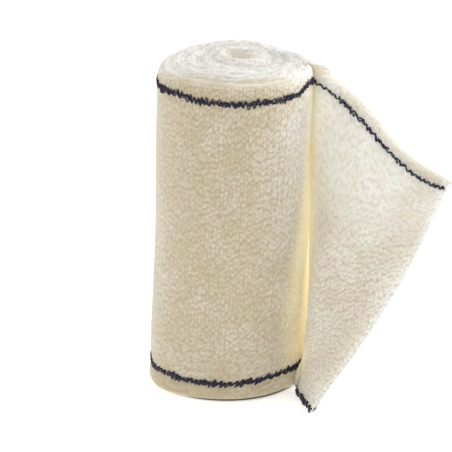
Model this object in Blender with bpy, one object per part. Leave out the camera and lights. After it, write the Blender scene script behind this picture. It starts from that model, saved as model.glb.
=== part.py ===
"""Crepe bandage roll standing on end, with its loose end turned out to the right.

One woven strip of cloth is wound clockwise, seen from above, into an upright roll. The last
turn leaves the roll along a slanting line at its right, folds forward and fans out to the cut
end. The outer turns curl in over the top rim, and the core stands a little proud of them.

Metres and degrees, +Z up, +X to the right, +Y to the back. The origin is the centre of the foot.
"""

import math
from collections import namedtuple

import bpy
import numpy as np

# ---------------------------------------------------------------- driving dimensions

CLOTH_WIDTH = 0.100        # selvedge to selvedge
CLOTH_THICKNESS = 0.0012   # crepe, slack
STRIPE_INSET = 0.006       # from each selvedge to the middle of its woven stripe
SEAT_GAP = 0.00034         # air left between the roll and the loose end
STEP_GAP = 0.0006          # air left before the edge of the last wound turn
FLOOR_MARGIN = 0.0001      # air left under the folded border

ROLL_RADIUS = 0.0242       # over the last turn, at the line where it leaves the roll
ROLL_LEAN = 0.026          # sideways drift of the turns for each unit of height

# The roll's outline from its foot over the top rim to the hollow in the core:
# inset is measured in from ROLL_RADIUS, height from the floor.
ProfilePoint = namedtuple("ProfilePoint", "inset height")
WALL_PROFILE = (
    ProfilePoint(0.00110, 0.0000),
    ProfilePoint(0.00030, 0.0009),
    ProfilePoint(0.00000, 0.0030),
    ProfilePoint(0.00000, 0.0300),
    ProfilePoint(-0.00010, 0.0620),
    ProfilePoint(0.00000, 0.0900),
    ProfilePoint(0.00010, 0.0955),
    ProfilePoint(0.00090, 0.0981),
    ProfilePoint(0.00260, 0.0992),
)
END_PROFILE = (
    ProfilePoint(0.00260, 0.0992),
    ProfilePoint(0.00500, 0.0997),
    ProfilePoint(0.00880, 0.1000),
    ProfilePoint(0.01230, 0.0998),
    ProfilePoint(0.01450, 0.0997),
    ProfilePoint(0.01620, 0.1006),
    ProfilePoint(0.01800, 0.1015),
    ProfilePoint(0.01940, 0.1013),
    ProfilePoint(0.02030, 0.0994),
    ProfilePoint(0.02110, 0.0973),
    ProfilePoint(0.02280, 0.0968),
)

# Line along which the last turn leaves the roll, as an angle about the roll's axis from +X:
# in front at the foot, a little behind the right-hand side higher up.
LEAVE_FOOT_DEG = -24.0
LEAVE_RISE_DEG = 27.0      # gained from the foot up to the rise height
LEAVE_RISE_HEIGHT = 0.018
LEAVE_TOP_DEG = 7.0        # gained towards the top, with the square of the height

# Relief of the wound turns on the top, between the given insets.
MAIN_TURN_PITCH = 0.0042
MAIN_TURN_HEIGHT = 0.00035
MAIN_TURNS_FROM, MAIN_TURNS_FULL = 0.0035, 0.0065
RIM_STEP_INSET = 0.0035    # the step of the last turn fades out beyond this inset

# The core lies off centre, with an oval lip that rises to one side.
CORE_SHIFT = (0.0010, 0.0034)
CORE_FROM, CORE_FULL = 0.006, 0.018     # insets between which the shift sets in
CORE_TILT, CORE_TILT_TOWARDS = 0.0005, 2.2
CORE_OVAL, CORE_OVAL_TOWARDS = 0.07, 0.3

# Soft unevenness of the slack wall: waves around the roll, drifting with the height.
SlackWave = namedtuple("SlackWave", "count phase drift depth")
SLACK_WAVES = (SlackWave(2, 1.1, 62.0, 0.00021), SlackWave(3, -0.6, -95.0, 0.00013))
SLACK_ABOVE_FOOT = 0.012   # height over which the waves set in
SLACK_BELOW_TOP = 0.020    # and over which they end

# The loose end in plan, row by row of the cloth: headings are from straight forward towards
# the right, at the valley beside the roll, at the middle and at the cut end.
ClothRow = namedtuple("ClothRow", "valley_deg middle_deg end_deg length")
FOOT_ROW = ClothRow(-3.9, 12.3, 17.3, 0.0284)
MIDDLE_ROW = ClothRow(-6.9, 61.8, 51.1, 0.0463)
TOP_ROW = ClothRow(46.7, 42.7, 57.1, 0.0573)
VALLEY_SHARE = 0.30        # share of a row's length at which it has its valley heading
TOP_VALLEY_SHARE = 0.14    # the same at the top row, reached over the upper rows
MIDDLE_SHARE = 0.60
UPPER_ROWS_FROM = 0.60     # share of the width above which the valley nears the roll

# The cut end runs from one stripe to the other, bowed outwards and forwards.
CUT_FOOT = (0.0252, -0.0337, 0.0019)
CUT_TOP = (0.0638, -0.0341, 0.0724)
CUT_BOW = (0.0032, -0.0003)

# Borders outside the stripes, as share of the length and degrees of curl: the top one rolls
# back, the foot one is folded under. Both start as they lie on the roll.
CurlStop = namedtuple("CurlStop", "share degrees")
TOP_CURL = (CurlStop(0.03, 0.0), CurlStop(0.20, 118.0), CurlStop(0.45, 118.0),
            CurlStop(0.62, 148.0), CurlStop(0.86, 124.0), CurlStop(1.00, 148.0))
FOOT_CURL = (CurlStop(0.06, 0.0), CurlStop(0.42, 172.0))
TOP_BEND_SHARE = 0.95      # share of the border's width that bends
FOOT_BEND_SHARE = 0.48
FOOT_SKEW = 0.65           # how far the folded border draws back at the cut end, to its width
FOOT_SKEW_FROM = 0.60      # share of the length from which it draws back
TOP_FREED_AT = 0.10        # share of the length over which the hold of the roll ends
FOOT_FREED_AT = 0.28
FOOT_STAND_OFF = 0.0003    # more air between the roll and the foot border
FOOT_DROP_SHARE = 0.35     # share of the length over which the foot row sinks

# Steps of the meshes.
TURN_STEPS = 72
WALL_HEIGHTS = (0.0, 0.0004, 0.0012, 0.0030, 0.0050, 0.0070, 0.0090, 0.0115, 0.0140, 0.0165,
                0.0190, 0.0220, 0.0290, 0.0380, 0.0480, 0.0590, 0.0700, 0.0790, 0.0860, 0.0910,
                0.0945, 0.0962, 0.0978, 0.0992, 0.1003)
END_RINGS = 21
LENGTH_STEPS = 32
WIDTH_STEPS = 24
WIDTH_CROWDING = 1.35      # the rows stand closer towards the foot
BORDER_STEPS = 10

CREAM = (0.80, 0.73, 0.58, 1.0)
CREAM_PALE = (0.83, 0.77, 0.64, 1.0)


# ---------------------------------------------------------------- small helpers

def ease(share):
    """Smooth step from 0 to 1."""
    share = np.clip(share, 0.0, 1.0)
    return share * share * (3.0 - 2.0 * share)


def unit(vectors):
    """Vectors of length one, along the last axis."""
    return vectors / np.linalg.norm(vectors, axis=-1, keepdims=True)


def along_path(points, distances):
    """Positions at the given distances along a smooth path through 2-D points."""
    points = np.asarray(points, dtype=float)
    slopes = np.gradient(points, axis=0)
    dense = [points[0]]
    for start, end, slope_a, slope_b in zip(points[:-1], points[1:], slopes[:-1], slopes[1:]):
        chord = np.linalg.norm(end - start)
        slope_a = slope_a / max(np.linalg.norm(slope_a), 1e-9) * chord
        slope_b = slope_b / max(np.linalg.norm(slope_b), 1e-9) * chord
        for t in np.linspace(0.0, 1.0, 13)[1:]:
            dense.append((2 * t**3 - 3 * t**2 + 1) * start + (t**3 - 2 * t**2 + t) * slope_a
                         + (3 * t**2 - 2 * t**3) * end + (t**3 - t**2) * slope_b)
    dense = np.array(dense)
    travelled = np.concatenate([[0.0], np.cumsum(np.linalg.norm(np.diff(dense, axis=0), axis=1))])
    return np.stack([np.interp(distances, travelled, dense[:, i]) for i in (0, 1)], axis=-1)


def path_length(points):
    """Length of the smooth path that along_path follows."""
    far = along_path(points, np.linspace(0.0, 1.0, 20001))
    return float(np.linalg.norm(np.diff(far, axis=0), axis=1).sum())


def leave_angle(height):
    """Angle about the roll's axis, in degrees, at which the last turn leaves the roll."""
    quick = LEAVE_RISE_DEG * ease(height / LEAVE_RISE_HEIGHT)
    return LEAVE_FOOT_DEG + quick + LEAVE_TOP_DEG * (height / CLOTH_WIDTH) ** 2


def profile_normal(points, distances):
    """Outward normal of a profile, as (radial, upward) parts."""
    nudge = 1e-4
    ahead = along_path(points, distances + nudge)
    behind = along_path(points, np.maximum(distances - nudge, 0.0))
    run = unit(ahead - behind)
    return np.stack([run[..., 1], run[..., 0]], axis=-1)


def slack(angle, height):
    """Soft unevenness of the wound wall, as a change of radius."""
    turn = np.radians(angle)
    depth = sum(wave.depth * np.sin(wave.count * turn + wave.phase + wave.drift * height)
                for wave in SLACK_WAVES)
    return (depth * ease(height / SLACK_ABOVE_FOOT)
            * ease((CLOTH_WIDTH - height) / SLACK_BELOW_TOP))


def closed_body(name, points, faces, colour):
    """A mesh object from points and faces, shaded smooth, with its own cloth material."""
    mesh = bpy.data.meshes.new(name)
    mesh.from_pydata([tuple(map(float, p)) for p in points], [], faces)
    mesh.validate()
    mesh.shade_smooth()
    material = bpy.data.materials.new(name + "_cloth")
    material.use_nodes = True
    shader = material.node_tree.nodes["Principled BSDF"]
    shader.inputs["Base Color"].default_value = colour
    shader.inputs["Roughness"].default_value = 0.95
    shader.inputs["Metallic"].default_value = 0.0
    mesh.materials.append(material)
    return bpy.data.objects.new(name, mesh)


# ---------------------------------------------------------------- the wound roll

def roll_ring(inset, height, normal, turn_depth):
    """One ring around the roll: it sinks by one cloth thickness over a full turn."""
    turned = np.linspace(0.0, 360.0, TURN_STEPS + 1)
    depth = turn_depth * turned / 360.0
    angle = leave_angle(height) + turned
    level = height - normal[1] * depth
    radius = ROLL_RADIUS - inset - normal[0] * depth + slack(angle, height)
    towards_core = ease((inset - CORE_FROM) / (CORE_FULL - CORE_FROM))
    turn = np.radians(angle)
    radius = radius * (1.0 + CORE_OVAL * towards_core * np.cos(2 * (turn - CORE_OVAL_TOWARDS)))
    level = level + CORE_TILT * towards_core * np.cos(turn - CORE_TILT_TOWARDS)
    x = radius * np.cos(turn) + ROLL_LEAN * height + CORE_SHIFT[0] * towards_core
    y = radius * np.sin(turn) + CORE_SHIFT[1] * towards_core
    if inset > WALL_PROFILE[-1].inset:
        ridge = np.cos(2 * math.pi * (inset / MAIN_TURN_PITCH + turned / 360.0))
        level = level + MAIN_TURN_HEIGHT * ridge * ease(
            (inset - MAIN_TURNS_FROM) / (MAIN_TURNS_FULL - MAIN_TURNS_FROM))
    level = np.maximum(level, 0.0) if height > 0 else np.zeros_like(level)
    return np.stack([x, y, level], axis=-1)


def build_roll():
    """The wound form as one solid: flat foot, stepped wall, curled rim, main turns and hollow."""
    step_depth = CLOTH_THICKNESS + SEAT_GAP
    rings = []
    wall_at = np.array(WALL_HEIGHTS) / WALL_HEIGHTS[-1] * path_length(WALL_PROFILE)
    for (inset, height), normal in zip(along_path(WALL_PROFILE, wall_at),
                                       profile_normal(WALL_PROFILE, wall_at)):
        rings.append(roll_ring(inset, height, normal, step_depth))
    end_at = np.linspace(0.0, path_length(END_PROFILE), END_RINGS + 1)[1:]
    for (inset, height), normal in zip(along_path(END_PROFILE, end_at),
                                       profile_normal(END_PROFILE, end_at)):
        fade = 1.0 - ease((inset - RIM_STEP_INSET) / RIM_STEP_INSET)
        rings.append(roll_ring(inset, height, normal, step_depth * fade))
    points = np.concatenate(rings)
    around = TURN_STEPS + 1
    faces = []
    for ring in range(len(rings) - 1):
        low, high = ring * around, (ring + 1) * around
        for i in range(around):
            j = (i + 1) % around
            faces.append((low + i, low + j, high + j, high + i))
    foot_middle = len(points)
    top_middle = foot_middle + 1
    hollow = rings[-1].mean(axis=0)
    points = np.vstack([points, [0.0, 0.0, 0.0], hollow])
    last = (len(rings) - 1) * around
    for i in range(around):
        j = (i + 1) % around
        faces.append((j, i, foot_middle))
        faces.append((last + i, last + j, top_middle))
    return closed_body("bandage_roll", points, faces, CREAM)


# ---------------------------------------------------------------- the loose end

def across_rows(foot, middle, top, share):
    """A value that passes through those of the foot, middle and top rows."""
    return (foot * (1 - share) * (1 - 2 * share) + middle * 4 * share * (1 - share)
            + top * share * (2 * share - 1))


def eased_stops(stops, values, shares):
    """Values along a run of shares, easing from one stop to the next."""
    result = np.full_like(shares, values[0])
    for i in range(len(stops) - 1):
        result = result + (values[i + 1] - values[i]) * ease(
            (shares - stops[i]) / (stops[i + 1] - stops[i]))
    return result


def root_point(across):
    """Middle of the cloth's thickness where it leaves the roll, at a distance across the cloth."""
    across = np.atleast_1d(across)
    inset, height = along_path(WALL_PROFILE, across).T
    normal = profile_normal(WALL_PROFILE, across)
    radius = ROLL_RADIUS - inset - normal[:, 0] * CLOTH_THICKNESS / 2
    level = height - normal[:, 1] * CLOTH_THICKNESS / 2
    turn = np.radians(leave_angle(height))
    radius = radius + slack(np.degrees(turn), height)
    return np.stack([radius * np.cos(turn) + ROLL_LEAN * height, radius * np.sin(turn), level], -1)


def cloth_between_stripes():
    """Middle surface of the loose end from stripe to stripe, as rows of points."""
    shares = np.linspace(0.0, 1.0, LENGTH_STEPS + 1)
    rows = []
    for across_share in np.linspace(0.0, 1.0, WIDTH_STEPS + 1) ** WIDTH_CROWDING:
        across = STRIPE_INSET + across_share * (CLOTH_WIDTH - 2 * STRIPE_INSET)
        root = root_point(across)[0]
        start_deg = float(leave_angle(root[2]))
        values = [across_rows(FOOT_ROW[i], MIDDLE_ROW[i], TOP_ROW[i], across_share)
                  for i in range(4)]
        upper = ease((across_share - UPPER_ROWS_FROM) / (1 - UPPER_ROWS_FROM))
        valley_share = VALLEY_SHARE + (TOP_VALLEY_SHARE - VALLEY_SHARE) * upper
        heading = np.radians(eased_stops((0.0, valley_share, MIDDLE_SHARE, 1.0),
                                         (start_deg, *values[:3]), shares))
        middle = (heading[1:] + heading[:-1]) / 2
        step = values[3] / LENGTH_STEPS
        gap = STEP_GAP * np.array([math.sin(heading[0]), -math.cos(heading[0])])
        x = root[0] + gap[0] + np.concatenate([[0.0], np.cumsum(np.sin(middle) * step)])
        y = root[1] + gap[1] - np.concatenate([[0.0], np.cumsum(np.cos(middle) * step)])
        foot_drop = (1 - across_share) * (root[2] - CUT_FOOT[2]) * ease(shares / FOOT_DROP_SHARE)
        top_drop = across_share * (root[2] - CUT_TOP[2]) * ease(shares)
        row = np.stack([x, y, root[2] - foot_drop - top_drop], -1)
        end = np.array(CUT_FOOT) + (np.array(CUT_TOP) - np.array(CUT_FOOT)) * across_share
        end = end + np.array([*CUT_BOW, 0.0]) * math.sin(math.pi * across_share)
        rows.append(row + (end - row[-1]) * ease(shares)[:, None])
    return np.array(rows), shares


def border_rows(edge, away, outward, curl_deg, bend_share, skew):
    """Rows outside an edge row, curling from straight away towards outward, drawn along by skew."""
    step = STRIPE_INSET / BORDER_STEPS
    place = edge
    rows = []
    for i in range(BORDER_STEPS):
        bend = min((i + 0.5) / BORDER_STEPS / bend_share, 1.0)
        curl = np.radians(curl_deg * bend)[:, None]
        place = place + (away * np.cos(curl) + outward * np.sin(curl) + skew) * step
        rows.append(place)
    return rows


def held_rows(edge, edge_across, direction, stand_off):
    """The same rows as they lie on the roll, carried along from the line where they leave it.

    The outermost row stands off the roll by the given distance.
    """
    step = STRIPE_INSET / BORDER_STEPS * direction
    on_edge = root_point(edge_across)[0]
    outward = unit(on_edge * (1, 1, 0))
    return [edge + root_point(edge_across + (i + 1) * step)[0] - on_edge
            + outward * stand_off * (i + 1) / BORDER_STEPS for i in range(BORDER_STEPS)]


def blend_rows(first, last, share):
    """Rows between two sets of rows."""
    return [a * (1 - share) + b * share for a, b in zip(first, last)]


def thickened(grid, thickness):
    """Points and faces of a closed sheet around a grid of its middle surface."""
    rows, columns = grid.shape[:2]
    normal = unit(np.cross(np.gradient(grid, axis=1), np.gradient(grid, axis=0)))
    points = np.concatenate([grid + normal * thickness / 2, grid - normal * thickness / 2])
    back = rows * columns
    faces = []
    for r in range(rows - 1):
        for c in range(columns - 1):
            quad = [r * columns + c, r * columns + c + 1,
                    (r + 1) * columns + c + 1, (r + 1) * columns + c]
            faces.append(quad)
            faces.append([back + i for i in quad[::-1]])
    rim = ([c for c in range(columns)]
           + [r * columns + columns - 1 for r in range(1, rows)]
           + [(rows - 1) * columns + c for c in range(columns - 2, -1, -1)]
           + [r * columns for r in range(rows - 2, 0, -1)])
    for a, b in zip(rim, rim[1:] + rim[:1]):
        faces.append([b, a, back + a, back + b])
    return points.reshape(-1, 3), faces


def build_loose_end():
    """The free length of cloth as a thin closed sheet."""
    cloth, shares = cloth_between_stripes()
    along = unit(np.gradient(cloth, axis=1))

    upward = unit(cloth[-1] - cloth[-2])
    outward = unit(np.cross(upward, along[-1]))
    curl = eased_stops(*zip(*TOP_CURL), shares)
    rolled = border_rows(cloth[-1], upward, outward, curl, TOP_BEND_SHARE, 0.0 * upward)
    top_edge = CLOTH_WIDTH - STRIPE_INSET
    top_border = blend_rows(held_rows(cloth[-1], top_edge, 1, 0.0), rolled,
                            ease(shares / TOP_FREED_AT)[:, None])

    downward = unit(cloth[0] - cloth[1])
    outward = unit(np.cross(along[0], downward))
    curl = eased_stops(*zip(*FOOT_CURL), shares)
    skew = -FOOT_SKEW * ease((shares - FOOT_SKEW_FROM) / (1 - FOOT_SKEW_FROM))[:, None] * along[0]
    folded = border_rows(cloth[0], downward, outward, curl, FOOT_BEND_SHARE, skew)
    foot_border = blend_rows(held_rows(cloth[0], STRIPE_INSET, -1, FOOT_STAND_OFF), folded,
                             ease(shares / FOOT_FREED_AT)[:, None])

    # the cloth is raised where its folded border would reach below the floor
    on_floor = CLOTH_THICKNESS / 2 + FLOOR_MARGIN
    lift = np.maximum(on_floor - np.min(np.array(foot_border)[..., 2], axis=0), 0.0)
    foot_border = [row + lift[:, None] * (0, 0, 1) for row in foot_border]
    for i, row in enumerate(cloth):
        row[:, 2] += lift * (1 - ease(i / (WIDTH_STEPS / 2)))

    grid = np.array(foot_border[::-1] + list(cloth) + top_border)
    return closed_body("loose_end", *thickened(grid, CLOTH_THICKNESS), CREAM_PALE)


# ---------------------------------------------------------------- assembly

def main():
    for old in list(bpy.data.objects):
        bpy.data.objects.remove(old, do_unlink=True)
    bandage = bpy.data.collections.new("crepe_bandage_roll")
    bpy.context.scene.collection.children.link(bandage)
    for piece in (build_roll(), build_loose_end()):
        bandage.objects.link(piece)


main()
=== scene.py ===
"""Looks of a crepe bandage roll: wound and draped cloth, fluffy end faces, woven dark stripes.

The strip is laid out by two coordinates in metres: `along`, from the line where the last turn
leaves the roll, and `across`, from the foot selvedge to the top one. Relief and colour follow
these, so that they run on unbroken from the roll into the loose end, where along is negative.
`turned` counts degrees behind that line, and `facing` is a direction on the wall about the
roll's axis: 0 to the right, -90 to the front, -180 to the left.
"""

import math
from collections import namedtuple

import bmesh
import bpy
import numpy as np
from bpy.props import FloatProperty, FloatVectorProperty, IntProperty, PointerProperty
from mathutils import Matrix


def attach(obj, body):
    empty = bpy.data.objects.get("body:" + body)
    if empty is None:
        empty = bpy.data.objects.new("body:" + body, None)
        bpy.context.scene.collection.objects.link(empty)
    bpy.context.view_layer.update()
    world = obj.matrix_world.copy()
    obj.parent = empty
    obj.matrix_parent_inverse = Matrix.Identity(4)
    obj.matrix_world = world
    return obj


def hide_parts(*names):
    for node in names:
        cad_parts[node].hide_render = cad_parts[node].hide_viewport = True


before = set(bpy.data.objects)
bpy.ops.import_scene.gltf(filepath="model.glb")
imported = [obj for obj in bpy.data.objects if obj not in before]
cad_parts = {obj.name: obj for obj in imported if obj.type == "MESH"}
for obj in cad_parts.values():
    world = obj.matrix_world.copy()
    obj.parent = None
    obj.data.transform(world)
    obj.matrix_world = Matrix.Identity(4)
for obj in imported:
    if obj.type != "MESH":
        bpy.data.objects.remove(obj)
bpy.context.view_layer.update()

bl_info = {
    "name": "Crepe Bandage Roll",
    "version": (1, 0, 0),
    "blender": (4, 5, 0),
    "location": "View3D > Sidebar > Bandage",
    "description": "Builds the cloth, stripes, fluff and studio of a crepe bandage roll",
    "category": "Object",
}

# ---------------------------------------------------------------- sizes of the solid form

CLOTH_WIDTH = 0.100        # selvedge to selvedge
SOLID_THICKNESS = 0.0012   # of the cloth in the solids
STRIPE_INSET = 0.006       # from each selvedge to the middle of its woven stripe
TOP_STRIPE = CLOTH_WIDTH - STRIPE_INSET
TURN_STEP = 0.00154        # how far the wound surface sinks over one turn

ROLL_RADIUS = 0.0242       # over the last turn, at the line where it leaves the roll
ROLL_LEAN = 0.026          # sideways drift of the turns for each unit of height

# Outline of the roll: inset is measured in from ROLL_RADIUS, height from the floor.
ProfilePoint = namedtuple("ProfilePoint", "inset height")
WALL_PROFILE = tuple(ProfilePoint(*point) for point in (
    (0.00110, 0.0000), (0.00030, 0.0009), (0.00000, 0.0030), (0.00000, 0.0300),
    (-0.00010, 0.0620), (0.00000, 0.0900), (0.00010, 0.0955), (0.00090, 0.0981),
    (0.00260, 0.0992)))
END_PROFILE = tuple(ProfilePoint(*point) for point in (
    (0.00260, 0.0992), (0.00500, 0.0997), (0.00880, 0.1000), (0.01230, 0.0998),
    (0.01450, 0.0997), (0.01620, 0.1006), (0.01800, 0.1015), (0.01935, 0.1011),
    (0.02050, 0.0997), (0.02150, 0.0986), (0.02290, 0.0982)))

# Line along which the last turn leaves the roll, as an angle about the roll's axis.
LEAVE_FOOT_DEG = -24.0
LEAVE_RISE_DEG = 27.0      # gained from the foot up to the rise height
LEAVE_RISE_HEIGHT = 0.018
LEAVE_TOP_DEG = 7.0        # gained towards the top, with the square of the height

# The top: broad turns that rise between two insets, and a hollow off the roll's axis that is
# tilted by a height and oval by a share of the radius, each towards a direction in radians.
MAIN_TURN_PITCH = 0.0042
MAIN_TURN_HEIGHT = 0.00045
MAIN_TURNS_FROM, MAIN_TURNS_FULL = 0.0035, 0.0065
RIM_STEP_INSET = 0.0035    # the step of the last turn fades out beyond this inset
CORE_SHIFT = (0.0010, 0.0034)
CORE_FROM, CORE_FULL = 0.006, 0.018
CORE_TILT, CORE_TILT_TOWARDS = 0.0005, 2.2
CORE_OVAL, CORE_OVAL_TOWARDS = 0.07, 0.3

# Waves of the wound wall: how many go around, and how their phase drifts with the height.
SlackWave = namedtuple("SlackWave", "count phase drift depth")
SLACK_WAVES = (SlackWave(2, 1.1, 62.0, 0.00021), SlackWave(3, -0.6, -95.0, 0.00013))
SLACK_ABOVE_FOOT = 0.012   # height over which the waves set in
SLACK_BELOW_TOP = 0.020    # and over which they end

# Headings of the loose end's rows, seen from above, and their free lengths.
ClothRow = namedtuple("ClothRow", "valley_deg middle_deg end_deg length")
FOOT_ROW = ClothRow(-3.9, 12.3, 17.3, 0.0284)
MIDDLE_ROW = ClothRow(-6.9, 61.8, 51.1, 0.0463)
TOP_ROW = ClothRow(46.7, 42.7, 57.1, 0.0573)
VALLEY_SHARE = 0.30        # share of a row's length at which it has its valley heading
TOP_VALLEY_SHARE = 0.14    # the same at the top row, reached over the upper rows
MIDDLE_SHARE = 0.60        # and its middle heading
UPPER_ROWS_FROM = 0.60     # share of the width above which the valley nears the roll

CUT_FOOT = (0.0252, -0.0337, 0.0019)
CUT_TOP = (0.0638, -0.0341, 0.0724)
CUT_BOW = (0.0032, -0.0003)   # how far the cut bows out in its middle

# The borders beyond the stripes curl by these degrees, at shares of the free length, and over
# bend_share of their width. skew is how far a border draws back at the cut end, to its width,
# stand_off how far its selvedge stands off the roll, and freed_at the share of the length over
# which the hold of the roll ends.
Border = namedtuple("Border", "side stripe curl bend_share skew stand_off freed_at")
TOP_BORDER = Border(1, TOP_STRIPE, ((0.00, 30.0), (0.12, 112.0), (0.45, 118.0), (0.62, 148.0),
                                    (0.86, 124.0), (1.00, 148.0)), 0.95, 0.0, 0.0, 0.07)
FOOT_BORDER = Border(-1, STRIPE_INSET, ((0.06, 0.0), (0.42, 172.0)), 0.48, 0.65, 0.0003, 0.14)
SKEW_FROM = 0.60           # share of the length from which a border draws back
FOOT_DROP_SHARE = 0.35     # share of the length over which the foot row sinks
FLOOR_MARGIN = 0.0001      # air left under the folded border

# ---------------------------------------------------------------- sizes of the visible cloth

FRONT_STEP = 0.00030       # spacing of the visible cloth's mesh
BACK_STEP = 0.00039
FRONT_FROM_DEG = 175.0     # the wound cloth is shown in two halves that meet at the back
FRONT_TO_DEG = 374.0       # a little more than one turn, on under the loose end
LAP = 0.0050               # how far the loose end's sheet reaches back over the roll
LAP_RUN = 0.0016           # over which the lap's edge sinks into the wound cloth
LOOSE_STEPS = (140, 280, 16, 13)   # free length, width between the stripes, border, lap
TOP_STEPS = (106, 440)     # from the rim to the core, around
FOOT_RINGS = 32
PEBBLE_LEVEL = 0.45        # share of a pebble's height that lies below the cloth's surface

# How far the fluffed top edge stands above the wound turns, by direction in degrees.
RIM_LIFT = ((-180, 0.0008), (-115, 0.0018), (-60, 0.0014), (-10, 0.0005), (15, 0.0000),
            (42, -0.0007), (80, 0.0005), (120, 0.0005), (180, 0.0008))

# Height and strength of the light that comes through the loose end onto the roll.
VALLEY_GLOW = ((0.000, 0.15), (0.010, 0.25), (0.016, 0.33), (0.027, 0.48), (0.044, 0.66),
               (0.060, 0.58), (0.076, 0.42), (0.092, 0.28), (0.098, 0.0))

# Yarns of a stripe: shares of the zigzag's pitch and width, height off the cloth.
Strand = namedtuple("Strand", "pitch width lift seed")
STRANDS = (Strand(1.0, 1.0, 0.00004, 50), Strand(1.37, 0.62, 0.00000, 70),
           Strand(0.81, 0.80, -0.00002, 90))
# On the loose end's inner face a stripe is narrower, and shows from a share of the length on.
Stripe = namedtuple("Stripe", "label centre seed inner_width inner_from")
STRIPES = (Stripe("foot", STRIPE_INSET, 0, 0.80, 0.36), Stripe("top", TOP_STRIPE, 7, 0.46, 0.01))
OUTER_WIDTH = 0.90         # share of the zigzag's width on the loose end's outer face
LOOSE_YARN = 1.28          # the yarn is slacker there, to its radius on the roll
YARN_STEP = 0.00011        # spacing of the points along a stripe yarn
GOLDEN_DEG = 137.508       # golden angle, which spreads the loops evenly
RIM_LOOP_EVERY = 14        # of so many loops one stands where the loose end leaves the rim
WALL_FIBRES = 0.62         # share of the loose fibres on the wound cloth

# Camera of the photograph.
CAMERA_PLACE = (-0.0005, -1.3220, 0.5557)
CAMERA_PITCH_DEG = 21.02
CAMERA_LENS = 375.14
CAMERA_SENSOR = 36.0

# power names the studio's setting, and share how much of it the lamp has.
Lamp = namedtuple("Lamp", "name place size power share")
LAMPS = (Lamp("left_lamp", (-0.75, -0.10, 0.45), (0.5, 0.7), "side_power", 0.7),
         Lamp("right_lamp", (0.80, -0.30, 0.50), (0.5, 0.7), "side_power", 1.0),
         Lamp("top_lamp", (0.0, 0.10, 0.90), (0.7, 0.7), "top_power", 1.0),
         Lamp("back_lamp", (0.80, 0.30, 0.40), (0.5, 0.5), "back_power", 1.0))
LAMPS_AIM = (0.0, 0.0, 0.05)
FLOOR_HALF = 6.0
FLOOR_DROP = 0.00005       # how far the floor lies below the foot, so that the two don't meet
WHITE = (1.0, 1.0, 1.0, 1.0)


# ---------------------------------------------------------------- what a user would change

def size_property(name, description, default, low, high):
    """A size in metres."""
    return FloatProperty(name=name, description=description, default=default,
                         min=low, max=high, unit="LENGTH")


def count_property(name, description, default, most):
    """A number of like pieces."""
    return IntProperty(name=name, description=description, default=default, min=0, max=most)


def colour_property(name, description, default):
    """A colour."""
    return FloatVectorProperty(name=name, description=description, default=default,
                               min=0.0, max=1.0, subtype="COLOR")


def power_property(name, description, default):
    """A lamp's power."""
    return FloatProperty(name=name, description=description, default=default, min=0.0,
                         unit="POWER")


class BandageCloth(bpy.types.PropertyGroup):
    """Crepe cloth."""
    thickness: size_property(
        "Thickness", "Thickness of the slack crepe cloth", 0.0009, 0.0004, 0.002)
    pebble_height: size_property(
        "Pebble height", "How far the crepe pebbles stand out", 0.00013, 0.0, 0.0005)
    pebble_along: size_property(
        "Pebble pitch along", "Distance of the pebble columns along the strip",
        0.00120, 0.0005, 0.005)
    pebble_across: size_property(
        "Pebble pitch across", "Distance of the pebbles within a column",
        0.00178, 0.0005, 0.005)
    cloth_colour: colour_property(
        "Cloth colour", "Unbleached cotton between the pebbles' tops", (0.612, 0.520, 0.360))
    fluff_colour: colour_property(
        "Fluff colour", "Fluffed white cotton on tops and selvedges", (0.82, 0.812, 0.79))
    # The pit colour is painted shade, laid into the low places between the pebbles.
    pit_shade_colour: colour_property(
        "Pit colour", "Pits between the pebbles", (0.45, 0.375, 0.25))
    # The inner face's colours are paler than the wound cloth's, partly painted light for the light
    # that comes through the loose end.
    loose_lit_colour: colour_property(
        "Loose end colour", "Slack cotton of the loose end's inner face", (0.63, 0.585, 0.505))
    loose_lit_fluff_colour: colour_property(
        "Loose end fluff", "Fluffed cotton of the loose end", (0.87, 0.88, 0.885))
    glow_colour: colour_property(
        "Glow colour", "Light that comes through the cloth in the valley", (0.80, 0.71, 0.43))


class BandageStripe(bpy.types.PropertyGroup):
    """Dark yarns woven in beside the selvedges."""
    yarn_radius: size_property("Yarn radius", "Radius of one dark yarn", 0.00018, 0.0001, 0.001)
    zigzag_pitch: size_property(
        "Zigzag pitch", "Length of one zigzag along the strip", 0.00175, 0.0005, 0.005)
    zigzag_width: size_property(
        "Zigzag width", "Full width of the zigzag", 0.00245, 0.0003, 0.004)
    yarn_colour: colour_property(
        "Yarn colour", "Dark blue of the stripe yarns", (0.021, 0.016, 0.042))


class BandageEnds(bpy.types.PropertyGroup):
    """End faces of the wound roll."""
    turn_pitch: size_property(
        "Turn pitch", "Distance between neighbouring turns", 0.00150, 0.0005, 0.005)
    turn_height: size_property(
        "Turn height", "How far the selvedge of each turn stands up", 0.00050, 0.0, 0.002)
    loops: count_property("Loops", "Yarn loops that stand up on the top", 2400, 6000)
    loop_radius: size_property(
        "Loop yarn radius", "Radius of the looped yarn", 0.00005, 0.00002, 0.0005)


class BandageFluff(bpy.types.PropertyGroup):
    """Loose fibres and frayed threads."""
    fibres: count_property("Fibres", "Loose fibres that stand off the cloth", 6400, 20000)
    fibre_radius: size_property(
        "Fibre radius", "Radius of one fibre", 0.000022, 0.000005, 0.0002)
    fray_threads: count_property(
        "Frayed threads", "Short thread ends along the cut end", 260, 1000)
    fray_length: size_property(
        "Frayed length", "Longest thread end at the cut", 0.0013, 0.0, 0.01)


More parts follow.
